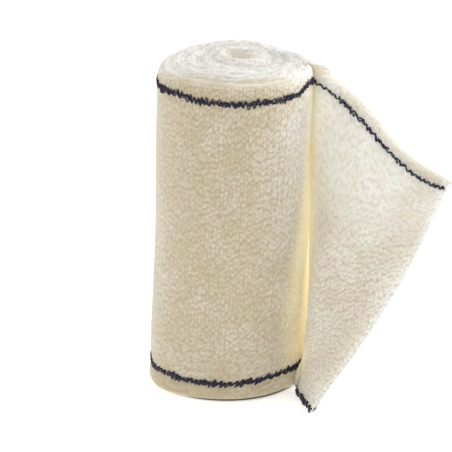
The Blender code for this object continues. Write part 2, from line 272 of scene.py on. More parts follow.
class BandageStudio(bpy.types.PropertyGroup):
    """Floor, lamps and camera."""
    surround: FloatProperty(
        name="Surround light", description="Strength of the white surround", default=0.46, min=0.0)
    side_power: power_property("Side lamps", "Power of the two side lamps", 1.3)
    top_power: power_property("Top lamp", "Power of the lamp above", 4.2)
    back_power: power_property("Back lamp", "Power of the lamp behind the loose end", 3.8)
    floor_colour: colour_property("Floor colour", "Pale floor", (0.93, 0.93, 0.93))


class BandageSettings(bpy.types.PropertyGroup):
    """All sizes and colours of the bandage roll."""
    cloth: PointerProperty(type=BandageCloth)
    stripe: PointerProperty(type=BandageStripe)
    ends: PointerProperty(type=BandageEnds)
    fluff: PointerProperty(type=BandageFluff)
    studio: PointerProperty(type=BandageStudio)


# ---------------------------------------------------------------- small helpers

def ease(share):
    """Smooth step from 0 to 1."""
    share = np.clip(share, 0.0, 1.0)
    return share * share * (3.0 - 2.0 * share)


def rising(value, start, end):
    """0 up to start, easing to 1 at end."""
    return ease((value - start) / (end - start))


def falling(value, start, end):
    """1 up to start, easing to 0 at end."""
    return ease((end - value) / (end - start))


def swell(value, middle, spread):
    """1 in the middle, fading out softly on both sides."""
    return np.exp(-((value - middle) / spread) ** 2)


def unit(vectors):
    """Vectors of length one, along the last axis."""
    return vectors / np.maximum(np.linalg.norm(vectors, axis=-1, keepdims=True), 1e-12)


def chance(i, j, seed):
    """A fixed pseudo-random number from 0 to 1 for whole numbers i and j."""
    mixed = np.sin(np.asarray(i) * 127.1 + np.asarray(j) * 311.7 + seed * 74.7) * 43758.5453
    return mixed - np.floor(mixed)


def soft_noise(x, y, seed):
    """Smooth noise from -1 to 1 over the plane, one bump to the unit."""
    x0, y0 = np.floor(x), np.floor(y)
    fx, fy = ease(x - x0), ease(y - y0)
    low = chance(x0, y0, seed) * (1 - fx) + chance(x0 + 1, y0, seed) * fx
    high = chance(x0, y0 + 1, seed) * (1 - fx) + chance(x0 + 1, y0 + 1, seed) * fx
    return (low * (1 - fy) + high * fy) * 2 - 1


def along_path(points, distances):
    """Positions at the given distances along a smooth path through 2-D points."""
    points = np.asarray(points, dtype=float)
    slopes = np.gradient(points, axis=0)
    dense = [points[0]]
    for start, end, slope_a, slope_b in zip(points[:-1], points[1:], slopes[:-1], slopes[1:]):
        chord = np.linalg.norm(end - start)
        slope_a = slope_a / max(np.linalg.norm(slope_a), 1e-9) * chord
        slope_b = slope_b / max(np.linalg.norm(slope_b), 1e-9) * chord
        for t in np.linspace(0.0, 1.0, 13)[1:]:
            dense.append((2 * t**3 - 3 * t**2 + 1) * start + (t**3 - 2 * t**2 + t) * slope_a
                         + (3 * t**2 - 2 * t**3) * end + (t**3 - t**2) * slope_b)
    dense = np.array(dense)
    travelled = np.concatenate([[0.0], np.cumsum(np.linalg.norm(np.diff(dense, axis=0), axis=1))])
    return np.stack([np.interp(distances, travelled, dense[:, i]) for i in (0, 1)], axis=-1)


def path_length(points):
    """Length of the smooth path that along_path follows."""
    far = along_path(points, np.linspace(0.0, 1.0, 20001))
    return float(np.linalg.norm(np.diff(far, axis=0), axis=1).sum())


WALL_REACH = path_length(WALL_PROFILE)
END_REACH = path_length(END_PROFILE)


def profile_normal(points, distances):
    """Outward normal of a profile, as (radial, upward) parts."""
    nudge = 1e-4
    ahead = along_path(points, distances + nudge)
    behind = along_path(points, np.maximum(distances - nudge, 0.0))
    run = unit(ahead - behind)
    return np.stack([run[..., 1], run[..., 0]], axis=-1)


def degrees_at(distance):
    """Degrees about the roll's axis that a distance on its wall covers."""
    return np.degrees(distance / ROLL_RADIUS)


def leave_angle(height):
    """Angle about the roll's axis, in degrees, at which the last turn leaves the roll."""
    quick = LEAVE_RISE_DEG * ease(height / LEAVE_RISE_HEIGHT)
    return LEAVE_FOOT_DEG + quick + LEAVE_TOP_DEG * (height / CLOTH_WIDTH) ** 2


RIM_ANGLE = leave_angle(WALL_PROFILE[-1].height)


def slack(angle, height):
    """Soft unevenness of the wound wall, as a change of radius."""
    turn = np.radians(angle)
    depth = sum(wave.depth * np.sin(wave.count * turn + wave.phase + wave.drift * height)
                for wave in SLACK_WAVES)
    return (depth * ease(height / SLACK_ABOVE_FOOT)
            * ease((CLOTH_WIDTH - height) / SLACK_BELOW_TOP))


def eased_stops(stops, values, shares):
    """Values along a run of shares, easing from one stop to the next."""
    result = np.full_like(shares, values[0])
    for i in range(len(stops) - 1):
        result = result + (values[i + 1] - values[i]) * rising(shares, stops[i], stops[i + 1])
    return result


def rim_lift(angle, travelled):
    """How far the fluffed top edge stands above the wound turns.

    travelled runs up the wall and on over the top.
    """
    around = eased_stops(*zip(*RIM_LIFT), (angle + 180.0) % 360.0 - 180.0)
    return around * rising(travelled, 0.080, 0.106) * falling(travelled, 0.1063, 0.1163)


def in_front(angle):
    """1 where the roll faces the front, where its top edge is shown as plain cloth instead of white
    fluff.
    """
    return rising(-np.sin(np.radians(angle + 4.0)), 0.35, 0.80)


def around_once(turned, values_at):
    """Values over a full turn whose end runs smoothly into its start."""
    back = rising(turned, 335.0, 360.0)
    return values_at(turned) * (1 - back) + values_at(turned - 360.0) * back


# ---------------------------------------------------------------- the cloth's relief

def pebbles(along, across, pitch_along, pitch_across):
    """Crepe relief: height from 0 to 1, and a number from 0 to 1 for each pebble's own tone.

    The pebbles stand in loose columns across the strip, each with its own size and slant.
    """
    wander = 0.70 * soft_noise(along / 0.011, across / 0.017, 3)
    wander = wander + 0.34 * soft_noise(along / 0.0040, across / 0.0045, 5)
    x = along / pitch_along + wander
    y = across / pitch_across + 0.40 * soft_noise(along / 0.006, across / 0.008, 9)
    height, tone = np.zeros_like(x), np.zeros_like(x)
    for column in (np.floor(x) + i for i in (-1, 0, 1)):
        shift = 0.5 * (column % 2) + 0.40 * chance(column, 0, 11)
        for row in (np.floor(y - shift) + j for j in (-1, 0, 1)):
            own, aside, above, slant, stretch = (
                chance(column, row, seed) for seed in (17, 23, 29, 31, 37))
            dx = x - (column + 0.5 + 0.30 * (aside - 0.5))
            dy = y - (row + shift + 0.5 + 0.56 * (above - 0.5))
            slant = 0.8 * (slant - 0.5)
            stretch = 1.0 + 0.5 * (stretch - 0.5)
            run = (dx * np.cos(slant) - dy * np.sin(slant)) * stretch
            rise = (dx * np.sin(slant) + dy * np.cos(slant)) / stretch
            near = 1.0 - (run / 0.58) ** 2 - (rise / 0.46) ** 2
            bump = np.clip(near, 0.0, 1.0) ** 0.85 * (0.55 + 0.45 * own)
            tone = np.where(bump > height, own, tone)
            height = np.maximum(height, bump)
    return height * (0.88 + 0.12 * soft_noise(along / 0.003, across / 0.003, 43)), tone


def border_ribs(along, across):
    """Fine ribs from -1 to 1 outside the top stripe, 0 elsewhere."""
    ribs = np.cos(2 * math.pi * along / 0.0012
                  + 2.0 * soft_noise(along / 0.006, across / 0.02, 19))
    return ribs * rising(across, TOP_STRIPE, TOP_STRIPE + 0.0015)


def mouth_fill(turned):
    """How far the wound cloth swells up to the loose end's inner face where that one leaves."""
    return 0.00060 * rising(turned, 340.0, 359.0)


def wall_relief(cloth, turned, along, across, facing, pebble):
    """How far the wound cloth stands out from the smooth wall."""
    relief = (cloth.pebble_height * (pebble - PEBBLE_LEVEL) * ease(across / 0.0012)
              * ease((WALL_REACH - across) / 0.0012))
    # Tucked in under the lap, and again after a full turn.
    lap_end, run = degrees_at(LAP), degrees_at(LAP_RUN)
    relief -= 0.00035 * falling(turned, lap_end - 1.5 * run, lap_end - 0.3 * run)
    relief -= 0.0001 * rising(turned, 360.0, 363.0)
    # Drawn in by the stripes.
    beside = np.minimum(np.abs(across - STRIPE_INSET), np.abs(across - TOP_STRIPE))
    relief -= 0.00018 * swell(beside, 0.0, 0.0012)
    relief += 0.00006 * border_ribs(along, across) + mouth_fill(turned)
    # A full foot edge, fullest at the left.
    relief += 0.0006 * swell(across, 0.0012, 0.0022)
    return relief + 0.0011 * swell(facing, -148.0, 24.0) * swell(across, 0.0, 0.0045)


def wall_fluff_and_light(turned, along, across, facing, height):
    """How pale the wound cloth is painted: 0 for bare crepe, 1 for white fluff. Besides real fluff
    it holds painted light and painted shade.
    """
    high = rising(height, 0.030, 0.075)
    at_front = in_front(facing)
    border = (falling(across, STRIPE_INSET - 0.0004, STRIPE_INSET + 0.0006)
              + rising(across, TOP_STRIPE - 0.0004, TOP_STRIPE + 0.0006))
    # The borders beyond the stripes are darker: painted shade where the stripes draw the cloth in
    # and beside the floor.
    fluff = 0.06 - 0.16 * border + 0.07 * border_ribs(along, across)
    # The rim is white, least at the front and most beside the loose end.
    fluff += (0.85 - 0.63 * at_front) * rising(across, 0.0954, 0.0994 - 0.0008 * at_front)
    fluff += 0.30 * rising(facing, -40.0, -15.0) * rising(height, 0.090, 0.096)
    # The warp's chains show at both sides.
    chains = np.cos(2 * math.pi * along / 0.0024
                    + 1.4 * soft_noise(along / 0.010, across / 0.030, 87))
    sides = rising(facing, -88.0, -63.0) * high + falling(facing, -158.0, -138.0)
    fluff += 0.12 * chains * np.minimum(sides, 1.0)
    # Paler towards the loose end, painted light of the side lamp with some real fluff, and darker
    # at the upper left, painted shade.
    right = 0.50 * rising(facing, -71.0, -37.0) * (0.16 + 0.84 * high)
    fluff += right * (1 - 0.45 * rising(height, 0.082, 0.092))
    fluff -= 0.09 * (falling(facing, -134.0, -112.0) * rising(facing, -190.0, -168.0)
                     * rising(height, 0.055, 0.080))
    return fluff + 0.10 * soft_noise(turned / 11.0, across / 0.007, 71)


def wall_glow(turned, facing, height):
    """Light on the wall that comes through the loose end, in the valley between the two."""
    onset = -56.0 + 25.0 * rising(height, 0.022, 0.072)
    glow = rising(facing, onset, onset + 24.0) * np.interp(height, *zip(*VALLEY_GLOW))
    glow += ((0.17 - 0.04 * rising(height, 0.030, 0.075)) * rising(facing, -25.0, -5.0)
             * rising(height, 0.004, 0.014))
    glow += 0.08 * (rising(facing, -52.0, -36.0) * falling(facing, -22.0, -8.0)
                    * rising(height, 0.042, 0.062) * falling(height, 0.076, 0.086))
    glow *= rising(turned, 250.0, 280.0)
    # The foot edge is lit up from the floor.
    return np.minimum(glow + 0.30 * falling(height, 0.0, 0.0013), 1.0)


def loose_masks(height, along, across, to_edge, to_cut, pebble, tone):
    """Masks of the loose end's inner face, followed by those of its outer face."""
    fluff = 0.22 * falling(to_edge, 0.0, 0.0012) + 0.40 * falling(to_cut, 0.0, 0.0025)
    fluff += 0.10 * soft_noise(along / 0.009, across / 0.012, 77)
    free_length = np.maximum(-along[:, -1:], 1e-6)
    share = np.clip(-along / free_length, 0.0, 1.0)
    # The inner face is paler near the roll, along the top, at the cut and in one patch; near the
    # roll, along the top and in the patch this is painted light laid over the fluff.
    near = (falling(share, 0.15, 0.37) * rising(height, 0.020, 0.050)
            * (1.0 - 0.45 * rising(height, 0.070, 0.082)))
    upper = rising(across, 0.069, 0.089) * (1.0 - 0.45 * rising(share, 0.66, 0.86))
    patch = swell(share, 0.64, 0.16) * swell(across, 0.076, 0.013)
    patch = patch * (0.28 + 0.14 * soft_noise(along / 0.005, across / 0.005, 83))
    lower = falling(across, 0.060, 0.080)
    inner_fluff_and_light = (fluff + 0.04 + 0.34 * near + 0.56 * upper + patch + 0.12 * lower
                   - 0.50 * rising(across, 0.0938, 0.0954) + 0.22 * falling(to_cut, 0.0015, 0.0085))
    # Light comes through where the cloth folds away from the roll.
    fold = -0.42 * free_length * falling(across[:, :1], 0.028, 0.048)
    glow = (0.85 * rising(along, fold - 0.0042, fold + 0.0020)
            + 0.15 * rising(along, fold - 0.0130, fold)) * (along < 0.0)
    glow = glow * (0.20 + 0.38 * falling(height, 0.049, 0.084)) * ease(height / 0.010)
    glow = glow * (0.25 + 0.75 * rising(across, 0.004, 0.014))
    inside = [0.27 - 0.17 * lower + (0.70 + 0.17 * lower) * pebble, inner_fluff_and_light,
              0.15 + 0.7 * tone, glow]
    outside = [pebble, fluff + 0.06, tone, 0.0 * glow]
    return np.concatenate([np.stack(face, -1).reshape(-1, 4) for face in (inside, outside)])


# ---------------------------------------------------------------- surfaces of the strip

def wall_surface(turned, across, sink=0.0):
    """Points and outward normals on the wound wall, at degrees behind the leave line."""
    inset, height = np.moveaxis(along_path(WALL_PROFILE, across), -1, 0)
    normal = profile_normal(WALL_PROFILE, across)
    depth = TURN_STEP * turned / 360.0 + sink
    angle = leave_angle(height) + turned
    radius = ROLL_RADIUS - inset - normal[..., 0] * depth + slack(angle, height)
    level = np.maximum(height - normal[..., 1] * depth, 0.0) + rim_lift(angle, across)
    turn = np.radians(angle)
    place = np.stack([radius * np.cos(turn) + ROLL_LEAN * height, radius * np.sin(turn), level], -1)
    outward = np.stack([normal[..., 0] * np.cos(turn), normal[..., 0] * np.sin(turn),
                        normal[..., 1]], -1)
    return place, outward


def cloth_wall(cloth, turned, across):
    """Points and outward normals on the visible wound cloth, before its relief."""
    return wall_surface(turned, across, (SOLID_THICKNESS - cloth.thickness) / 2)


def across_rows(foot, middle, top, share):
    """A value that passes through those of the foot, middle and top rows."""
    return (foot * (1 - share) * (1 - 2 * share) + middle * 4 * share * (1 - share)
            + top * share * (2 * share - 1))


def root_point(across):
    """Middle of the cloth's thickness where it leaves the roll, at one distance across."""
    return wall_surface(np.zeros(1), np.array([across]), SOLID_THICKNESS / 2)[0][0]


def border_rows(edge, within, forward, border, shares, steps):
    """Rows of a border beyond its edge row: they lie on the roll at first, then curl free."""
    away = unit(edge - within)
    outward = border.side * unit(np.cross(away, forward))
    curl = eased_stops(*zip(*border.curl), shares)
    skew = -border.skew * rising(shares, SKEW_FROM, 1.0)[:, None] * forward
    freed = ease(shares / border.freed_at)[:, None]
    root = root_point(border.stripe)
    from_roll = unit(root * (1, 1, 0)) * border.stand_off
    free = edge
    rows = []
    for i in range(steps):
        bend = min((i + 0.5) / steps / border.bend_share, 1.0)
        turn = np.radians(curl * bend)[:, None]
        free = free + (away * np.cos(turn) + outward * np.sin(turn) + skew) * STRIPE_INSET / steps
        share = (i + 1) / steps
        beyond = root_point(border.stripe + border.side * STRIPE_INSET * share)
        held = edge + beyond - root + from_roll * share
        rows.append(held * (1 - freed) + free * freed)
    return rows


def loose_row(across_share, across, shares):
    """One row of the free cloth between the stripes, from the roll to the cut end."""
    root = root_point(across)
    valley, middle, end, length = (
        across_rows(FOOT_ROW[i], MIDDLE_ROW[i], TOP_ROW[i], across_share) for i in range(4))
    valley_share = VALLEY_SHARE + (TOP_VALLEY_SHARE - VALLEY_SHARE) * rising(
        across_share, UPPER_ROWS_FROM, 1.0)
    heading = np.radians(eased_stops((0.0, valley_share, MIDDLE_SHARE, 1.0),
                                     (float(leave_angle(root[2])), valley, middle, end), shares))
    heading = (heading[1:] + heading[:-1]) / 2
    step = length / len(heading)
    x = root[0] + np.concatenate([[0.0], np.cumsum(np.sin(heading) * step)])
    y = root[1] - np.concatenate([[0.0], np.cumsum(np.cos(heading) * step)])
    foot_drop = (1 - across_share) * (root[2] - CUT_FOOT[2]) * ease(shares / FOOT_DROP_SHARE)
    top_drop = across_share * (root[2] - CUT_TOP[2]) * ease(shares)
    row = np.stack([x, y, root[2] - foot_drop - top_drop], -1)
    cut = np.array(CUT_FOOT) + (np.array(CUT_TOP) - np.array(CUT_FOOT)) * across_share
    cut = cut + np.array([*CUT_BOW, 0.0]) * math.sin(math.pi * across_share)
    return row + (cut - row[-1]) * ease(shares)[:, None], length


def loose_middle(length_steps, width_steps, border_steps):
    """Middle surface of the free cloth, with its distances along (negative) and across."""
    shares = np.linspace(0.0, 1.0, length_steps + 1)
    width_shares = np.linspace(0.0, 1.0, width_steps + 1)
    acrosses = STRIPE_INSET + width_shares * (CLOTH_WIDTH - 2 * STRIPE_INSET)
    rows, lengths = zip(*(loose_row(*at, shares) for at in zip(width_shares, acrosses)))
    cloth = np.array(rows)
    forward = unit(np.gradient(cloth, axis=1))
    top = border_rows(cloth[-1], cloth[-2], forward[-1], TOP_BORDER, shares, border_steps)
    foot = border_rows(cloth[0], cloth[1], forward[0], FOOT_BORDER, shares, border_steps)

    # The folded border lies on the floor, and lifts the rows above it a little.
    on_floor = SOLID_THICKNESS / 2 + FLOOR_MARGIN
    lift = np.maximum(on_floor - np.min(np.array(foot)[..., 2], axis=0), 0.0)
    foot = [row + lift[:, None] * (0, 0, 1) for row in foot]
    for row, share in zip(cloth, width_shares):
        row[:, 2] += lift * (1 - ease(2 * share))

    grid = np.array(foot[::-1] + list(cloth) + top)
    border = STRIPE_INSET * np.arange(1, border_steps + 1) / border_steps
    across = np.concatenate([STRIPE_INSET - border[::-1], acrosses, TOP_STRIPE + border])
    along = -np.interp(across, acrosses, lengths)[:, None] * shares[None, :]
    return grid, along, across


def strip_sheet(length_steps, width_steps, border_steps, lap_steps):
    """Middle surface of the loose end and of its lap on the roll, from the lap to the cut end."""
    grid, along, across = loose_middle(length_steps, width_steps, border_steps)
    lap_along, lap_across = np.meshgrid(np.linspace(LAP, 0.0, lap_steps + 1)[:-1], across)
    lap = wall_surface(degrees_at(lap_along), lap_across, SOLID_THICKNESS / 2)[0]
    grid = np.concatenate([lap, grid], axis=1)
    along = np.concatenate([lap_along, along], axis=1)
    normal = unit(np.cross(np.gradient(grid, axis=1), np.gradient(grid, axis=0)))
    return grid, normal, along, np.repeat(across[:, None], grid.shape[1], axis=1)


def end_surface(turned, travelled):
    """Points on the roll's top, at degrees around and a distance in from the rim."""
    inset, height = np.moveaxis(along_path(END_PROFILE, travelled), -1, 0)
    normal = profile_normal(END_PROFILE, travelled)
    fade = 1.0 - ease((inset - RIM_STEP_INSET) / RIM_STEP_INSET)
    depth = TURN_STEP * fade * turned / 360.0
    angle = RIM_ANGLE + turned
    level = height - normal[..., 1] * depth + rim_lift(angle, WALL_REACH + travelled)
    radius = ROLL_RADIUS - inset - normal[..., 0] * depth
    towards_core = rising(inset, CORE_FROM, CORE_FULL)
    turn = np.radians(angle)
    radius = radius * (1.0 + CORE_OVAL * towards_core * np.cos(2 * (turn - CORE_OVAL_TOWARDS)))
    level = level + CORE_TILT * towards_core * np.cos(turn - CORE_TILT_TOWARDS)
    ridge = np.cos(2 * math.pi * (inset / MAIN_TURN_PITCH + turned / 360.0))
    level = level + MAIN_TURN_HEIGHT * ridge * rising(inset, MAIN_TURNS_FROM, MAIN_TURNS_FULL)
    x = radius * np.cos(turn) + ROLL_LEAN * height + CORE_SHIFT[0] * towards_core
    y = radius * np.sin(turn) + CORE_SHIFT[1] * towards_core
    return np.stack([x, y, level], -1), inset


# ---------------------------------------------------------------- meshes

def grid_faces(rows, columns, first=0, flip=False):
    """Quads of a grid of points."""
    corner = (np.arange(rows - 1)[:, None] * columns + np.arange(columns - 1)[None, :]).ravel()
    quads = np.stack([corner, corner + 1, corner + columns + 1, corner + columns], -1) + first
    return quads[:, ::-1] if flip else quads


def shown_mesh(name, points, faces, material, masks=None):
    """A mesh object from points and faces, with masks kept as a colour on its points."""
    mesh = bpy.data.meshes.new(name)
    mesh.from_pydata(np.asarray(points, dtype=float).tolist(), [],
                     [list(map(int, face)) for face in faces])
    mesh.validate()
    mesh.shade_smooth()
    if masks is not None:
        layer = mesh.color_attributes.new("cloth_masks", "FLOAT_COLOR", "POINT")
        layer.data.foreach_set("color", masks.astype(np.float32).ravel())
    mesh.materials.append(material)
    body = bpy.data.objects.new(name, mesh)
    bpy.context.scene.collection.objects.link(body)
    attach(body, "root")
    return body


def tubes(paths, radii, sides):
    """Points and faces of round tubes along paths of equal point count, with closed ends.

    paths has the shape (tubes, points, 3), radii the shape (tubes, points).
    """
    count, length = paths.shape[:2]
    forward = unit(np.gradient(paths, axis=1))
    helper = np.where(np.abs(forward[..., 2:3]) < 0.8, (0.0, 0.0, 1.0), (1.0, 0.0, 0.0))
    first = unit(np.cross(forward, helper))[..., None, :]
    second = np.cross(forward, first[..., 0, :])[..., None, :]
    turn = (np.arange(sides) * 2 * math.pi / sides)[:, None]
    ring = first * np.cos(turn) + second * np.sin(turn)
    points = (paths[..., None, :] + ring * radii[..., None, None]).reshape(-1, 3)
    index = np.arange(count * length * sides).reshape(count, length, sides)
    low, high = index[:, :-1], index[:, 1:]
    quads = np.stack([low, np.roll(low, -1, axis=2), np.roll(high, -1, axis=2), high], -1)
    faces = quads.reshape(-1, 4).tolist()
    for tube in index:
        faces += [tube[0, ::-1].tolist(), tube[-1].tolist()]
    return points, faces


def weld(body):
    """Join points that share one place."""
    shape = bmesh.new()
    shape.from_mesh(body.data)
    bmesh.ops.remove_doubles(shape, verts=shape.verts, dist=1e-5)
    shape.to_mesh(body.data)
    shape.free()


def sample_grid(grid, column, row):
    """Values of a grid at fractional columns and rows."""
    rows, columns = grid.shape[:2]
    column = np.clip(column, 0, columns - 1.001)
    row = np.clip(row, 0, rows - 1.001)
    c, r = np.floor(column).astype(int), np.floor(row).astype(int)
    fc, fr = (column - c)[..., None], (row - r)[..., None]
    return ((grid[r, c] * (1 - fc) + grid[r, c + 1] * fc) * (1 - fr)
            + (grid[r + 1, c] * (1 - fc) + grid[r + 1, c + 1] * fc) * fr)


# ---------------------------------------------------------------- materials

def opaque(colour):
    """A colour with full alpha."""
    return (*colour, 1.0)


def feed(tree, node, inputs):
    """Link each named input to its socket, or set it to its plain value."""
    for key, value in inputs.items():
        if isinstance(value, bpy.types.NodeSocket):
            tree.links.new(value, node.inputs[key])
        else:
            node.inputs[key].default_value = value


def add_node(tree, kind, inputs=None, **settings):
    """Add a shader node with its settings and inputs, and give its outputs."""
    node = tree.nodes.new("ShaderNode" + kind)
    for key, value in settings.items():
        setattr(node, key, value)
    feed(tree, node, inputs or {})
    return node.outputs


def new_material(name):
    """A material with its node tree and its shader."""
    material = bpy.data.materials.new(name)
    material.use_nodes = True
    return material, material.node_tree, material.node_tree.nodes["Principled BSDF"]


def noise_at(tree, place, scale, detail):
    """Noise over a place, scale bumps to the metre."""
    return add_node(tree, "TexNoise", {"Scale": scale, "Detail": detail, "Vector": place})["Fac"]


def fine_bump(tree, height, strength, distance):
    """Normal of a fine relief."""
    return add_node(tree, "Bump", {"Strength": strength, "Distance": distance,
                                   "Height": height})["Normal"]


def crepe_group():
    """Node group: colour, fine height and glow of crepe cloth from its masks."""
    name = "crepe_cloth_tones"
    if name in bpy.data.node_groups:
        return bpy.data.node_groups[name]
    group = bpy.data.node_groups.new(name, "ShaderNodeTree")
    # Fluff pales the cloth towards Fluffed: real fluff, and on the wound cloth, the loose end and
    # the top also painted light and painted shade.
    for label, value in (
            ("Pebble", 1.0), ("Fluff", 0.0), ("Tone", 0.5), ("Glow", 0.0),
            ("Cloth", (0.7, 0.6, 0.4, 1)), ("Fluffed", (0.9, 0.85, 0.7, 1)),
            ("Pits", (0.5, 0.4, 0.3, 1)), ("Glow Tint", (0.8, 0.6, 0.3, 1))):
        kind = "NodeSocketFloat" if isinstance(value, float) else "NodeSocketColor"
        socket = group.interface.new_socket(name=label, in_out="INPUT", socket_type=kind)
        socket.default_value = value
    for label, kind in (("Colour", "NodeSocketColor"), ("Height", "NodeSocketFloat"),
                        ("Glow Colour", "NodeSocketColor")):
        group.interface.new_socket(name=label, in_out="OUTPUT", socket_type=kind)
    given = group.nodes.new("NodeGroupInput").outputs
    out = group.nodes.new("NodeGroupOutput")

    def remap(value, low, high, to_low, to_high):
        return add_node(group, "MapRange", {
            "Value": value, "From Min": low, "From Max": high,
            "To Min": to_low, "To Max": to_high}, clamp=True)["Result"]

    def total(*values):
        result = values[0]
        for value in values[1:]:
            result = add_node(group, "Math", {0: result, 1: value}, operation="ADD")["Value"]
        return result

    def product(a, b):
        return add_node(group, "Math", {0: a, 1: b}, operation="MULTIPLY")["Value"]

    def mixed(share, a, b, blend="MIX"):
        return add_node(group, "Mix", {0: share, 6: a, 7: b}, data_type="RGBA",
                        blend_type=blend)[2]

    place = add_node(group, "TexCoord")["Object"]
    patches = noise_at(group, place, 70.0, 3.0)      # soft patches of about 14 mm
    blushes = noise_at(group, place, 210.0, 2.0)     # faint rosy and greenish tints, about 5 mm
    threads = noise_at(group, place, 2100.0, 2.0)    # single yarns of about 0.5 mm
    specks = noise_at(group, place, 1150.0, 1.0)     # dark specks of about 1 mm in the pits
    # Painted shade: the low places of the pebbles are darkened towards the Pits colour, broken up
    # by the specks.
    pit_shade = product(remap(given["Pebble"], 0.00, 0.42, 0.58, 0.0),
                  remap(specks, 0.36, 0.62, 0.30, 1.0))
    # The pebble tops are painted paler, a painted highlight; Fluff pales the cloth further towards
    # Fluffed.
    lit = total(remap(given["Pebble"], 0.10, 0.9, 0.00, 0.26),
                remap(given["Tone"], 0.2, 1.0, -0.05, 0.10),
                remap(patches, 0.35, 0.65, -0.10, 0.12),
                remap(threads, 0.3, 0.7, -0.25, 0.25), given["Fluff"])
    colour = mixed(remap(lit, 0.0, 1.0, 0.0, 1.0), given["Cloth"], given["Fluffed"])
    colour = mixed(pit_shade, colour, given["Pits"])
    tint = mixed(remap(blushes, 0.38, 0.62, 0.0, 1.0), (1.0, 0.955, 0.94, 1.0),
                 (0.965, 0.985, 0.93, 1.0))
    colour = mixed(0.75, colour, tint, "MULTIPLY")
    colour = mixed(product(given["Glow"], 0.45), colour, given["Glow Tint"])
    feed(group, out, {
        "Colour": colour, "Height": total(product(threads, 0.6), product(specks, 0.4)),
        "Glow Colour": mixed(given["Glow"], (0.0, 0.0, 0.0, 1.0), given["Glow Tint"])})
    return group


def crepe_material(name, cloth, scatter, depth, glow=0.0, inner=None):
    """Matte crepe cotton. scatter and depth are how much and how far light enters the cloth.

    inner holds the cloth's and the fluff's colours on the face that the mesh marks as inner_face;
    they are paler, partly painted light for the light that comes through the loose end.
    """
    material, tree, shader = new_material(name)
    masks = add_node(tree, "Attribute", attribute_name="cloth_masks")
    split = add_node(tree, "SeparateColor", {"Color": masks["Color"]})
    tints = {"Cloth": opaque(cloth.cloth_colour), "Fluffed": opaque(cloth.fluff_colour),
             "Pits": opaque(cloth.pit_shade_colour), "Glow Tint": opaque(cloth.glow_colour)}
    tones = add_node(tree, "Group", {
        "Pebble": split["Red"], "Fluff": split["Green"], "Tone": split["Blue"],
        "Glow": masks["Alpha"], **tints}, node_tree=crepe_group())
    if inner is not None:
        marked = add_node(tree, "Attribute", attribute_name="inner_face")["Fac"]
        for socket, colour in zip(("Cloth", "Fluffed"), inner):
            choice = add_node(tree, "Mix", {0: marked, 6: tints[socket], 7: opaque(colour)},
                              data_type="RGBA")[2]
            feed(tree, tones[0].node, {socket: choice})
    feed(tree, shader, {
        "Base Color": tones["Colour"], "Roughness": 0.95, "Specular IOR Level": 0.15,
        "Normal": fine_bump(tree, tones["Height"], 0.6, 0.00014),
        "Sheen Weight": 0.55, "Sheen Roughness": 0.5, "Sheen Tint": (1.0, 0.99, 0.97, 1.0),
        "Subsurface Weight": scatter, "Subsurface Radius": (1.0, 0.94, 0.76),
        "Subsurface Scale": depth})
    if glow > 0.0:
        feed(tree, shader, {"Emission Color": tones["Glow Colour"], "Emission Strength": glow})
    return material


def plain_cotton(name, colour, roughness, passed=0.0):
    """Material of single yarns and fibres, mottled along their length.

    passed is how much light shines through them.
    """
    material, tree, shader = new_material(name)
    mottle = noise_at(tree, add_node(tree, "TexCoord")["Object"], 1900.0, 2.0)
    tone = add_node(tree, "ValToRGB", {"Fac": mottle})["Color"]
    dark, pale = tone.node.color_ramp.elements
    dark.position, pale.position = 0.32, 0.72
    dark.color = opaque(c * 0.84 for c in colour)
    pale.color = opaque(min(c * 1.10, 1.0) for c in colour)
    feed(tree, shader, {
        "Base Color": tone, "Normal": fine_bump(tree, mottle, 0.8, 0.0001),
        "Roughness": roughness, "Specular IOR Level": 0.2, "Sheen Weight": 0.3})
    if passed > 0.0:
        feed(tree, shader, {"Emission Color": opaque(colour), "Emission Strength": passed})
    return material


# ---------------------------------------------------------------- operators

class BANDAGE_OT_wall(bpy.types.Operator):
    """Wind the outer turn's cloth around the roll"""
    bl_idname = "bandage.wall"
    bl_label = "Wound cloth"

    def execute(self, context):
        cloth = context.scene.bandage.cloth
        wound = crepe_material("crepe_wound", cloth, 0.30, 0.0014, 0.75)
        first = degrees_at(LAP - 2 * LAP_RUN)
        for name, start, end, step in (
                ("wound_cloth_back", first, FRONT_FROM_DEG, BACK_STEP),
                ("wound_cloth_front", FRONT_FROM_DEG, FRONT_TO_DEG, FRONT_STEP)):
            columns = int(math.radians(end - start) * ROLL_RADIUS / step) + 1
            rows = int(WALL_REACH / step) + 1
            turned, across = np.meshgrid(np.linspace(start, end, columns),
                                         np.linspace(0.0, WALL_REACH, rows))
            along = np.radians(turned) * ROLL_RADIUS
            facing = leave_angle(across) + turned - 360.0
            pebble, tone = pebbles(along, across, cloth.pebble_along, cloth.pebble_across)
            place, outward = cloth_wall(cloth, turned, across)
            place += outward * wall_relief(
                cloth, turned, along, across, facing, pebble)[..., None]
            height = place[..., 2]
            masks = np.stack([pebble, wall_fluff_and_light(turned, along, across, facing, height), tone,
                              wall_glow(turned, facing, height)], -1).reshape(-1, 4)
            body = shown_mesh(name, place.reshape(-1, 3), grid_faces(rows, columns), wound, masks)
            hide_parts("bandage_roll")
        return {"FINISHED"}


